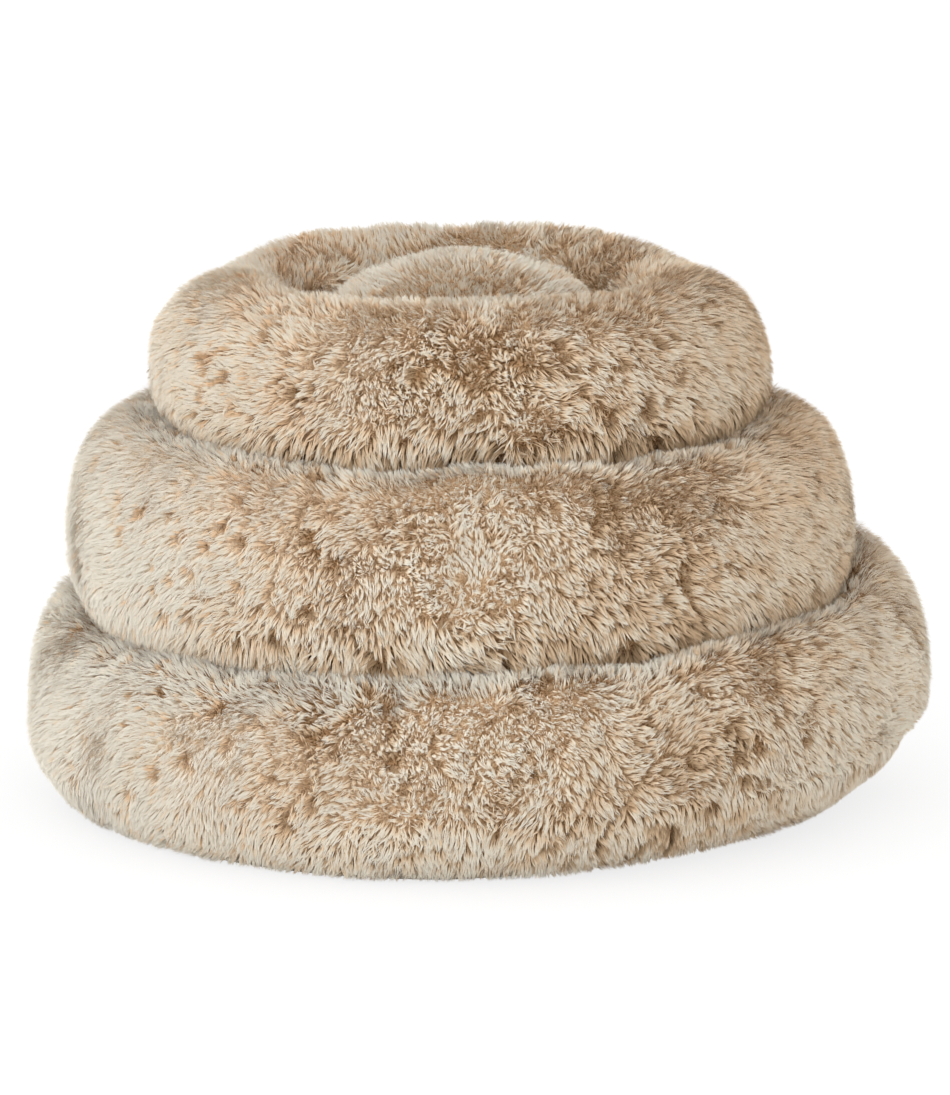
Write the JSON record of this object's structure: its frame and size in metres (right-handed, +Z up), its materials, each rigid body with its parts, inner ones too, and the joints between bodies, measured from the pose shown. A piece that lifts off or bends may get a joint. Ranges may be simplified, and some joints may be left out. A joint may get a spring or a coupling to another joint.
{
  "type": "dog bed stack",
  "caption": "Round plush dog beds, each a stuffed ring round a crowned cushion, stacked by size, with zipped bases.",
  "frame": {"origin": "on the floor, under the middle of the large bed, the lowest of the stack", "axes": "+Z up; -Y is the front that the picture shows; +X is the picture's right"},
  "size_m": [0.9085, 0.904, 0.544],
  "materials": {
    "plush_large": "long soft pile",
    "plush_medium": "long soft pile",
    "plush_small": "long soft pile",
    "polyester_fibre": "matt",
    "base_cloth": "matt woven",
    "zip_tape": "matt woven",
    "zip_metal": "plated"
  },
  "bodies": {
    "large_bed": {"large_bolster_cover": "plush_large", "large_bolster_insert": "polyester_fibre", "large_cushion_cover": "plush_large", "large_cushion_insert": "polyester_fibre", "large_base_panel": "base_cloth", "large_zip_tape_front": "zip_tape", "large_zip_tape_rear": "zip_tape"},
    "large_slider": {"large_zip_slider": "zip_metal"},
    "large_pull": {"large_zip_pull": "zip_metal"},
    "medium_bed": {"medium_bolster_cover": "plush_medium", "medium_bolster_insert": "polyester_fibre", "medium_cushion_cover": "plush_medium", "medium_cushion_insert": "polyester_fibre", "medium_base_panel": "base_cloth", "medium_zip_tape_front": "zip_tape", "medium_zip_tape_rear": "zip_tape"},
    "medium_slider": {"medium_zip_slider": "zip_metal"},
    "medium_pull": {"medium_zip_pull": "zip_metal"},
    "small_bed": {"small_bolster_cover": "plush_small", "small_bolster_insert": "polyester_fibre", "small_cushion_cover": "plush_small", "small_cushion_insert": "polyester_fibre", "small_base_panel": "base_cloth", "small_zip_tape_front": "zip_tape", "small_zip_tape_rear": "zip_tape"},
    "small_slider": {"small_zip_slider": "zip_metal"},
    "small_pull": {"small_zip_pull": "zip_metal"}
  },
  "joints": [
    {"name": "medium_lift", "type": "slide", "parent": "large_bed", "child": "medium_bed", "axis": [0, 0, 1], "range_m": [0, 0.3]},
    {"name": "small_lift", "type": "slide", "parent": "medium_bed", "child": "small_bed", "axis": [0, 0, 1], "range_m": [0, 0.25]},
    {"name": "large_zip_run", "type": "slide", "parent": "large_bed", "child": "large_slider", "axis": [1, 0, 0], "range_m": [0, 0.3434]},
    {"name": "large_pull_turn", "type": "hinge", "parent": "large_slider", "child": "large_pull", "pos_m": [-0.1717, 0, 0.0085], "axis": [0, 1, 0], "range_deg": [0, 175]},
    {"name": "medium_zip_run", "type": "slide", "parent": "medium_bed", "child": "medium_slider", "axis": [1, 0, 0], "range_m": [0, 0.2714]},
    {"name": "medium_pull_turn", "type": "hinge", "parent": "medium_slider", "child": "medium_pull", "pos_m": [-0.1517, 0, 0.1955], "axis": [0, 1, 0], "range_deg": [0, 175]},
    {"name": "small_zip_run", "type": "slide", "parent": "small_bed", "child": "small_slider", "axis": [1, 0, 0], "range_m": [0, 0.1674]},
    {"name": "small_pull_turn", "type": "hinge", "parent": "small_slider", "child": "small_pull", "pos_m": [-0.0997, 0, 0.3825], "axis": [0, 1, 0], "range_deg": [0, 175]}
  ]
}
